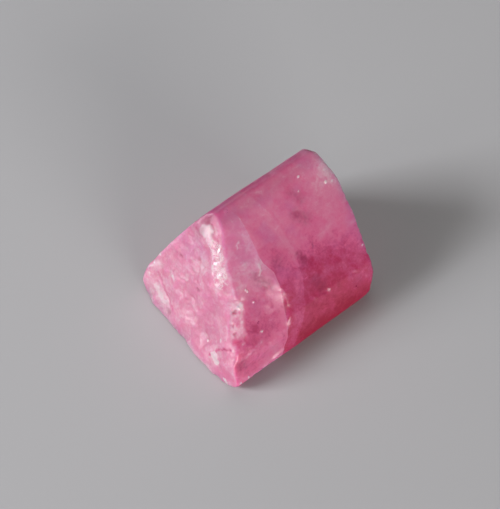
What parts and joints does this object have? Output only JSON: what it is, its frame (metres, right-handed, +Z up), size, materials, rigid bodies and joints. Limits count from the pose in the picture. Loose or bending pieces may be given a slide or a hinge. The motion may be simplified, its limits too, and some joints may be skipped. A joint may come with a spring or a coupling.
{
  "type": "rubellite crystal",
  "caption": "Stout pink tourmaline crystal: a bowed three-sided prism lying on one side, broken across at both ends.",
  "frame": {"origin": "on the table, below the middle of the crystal's box", "axes": "+X along the crystal's own long axis, from the rough pale break to the cleaner break; +Y away from the front, where the broad face slopes down to the foot; +Z up"},
  "size_m": [0.0206, 0.0162, 0.0129],
  "materials": {
    "rubellite": "cloudy translucent pink with a glassy lustre; rough and paler on the broken end"
  },
  "bodies": {
    "root": {"rubellite_crystal": "rubellite"}
  },
  "joints": []
}
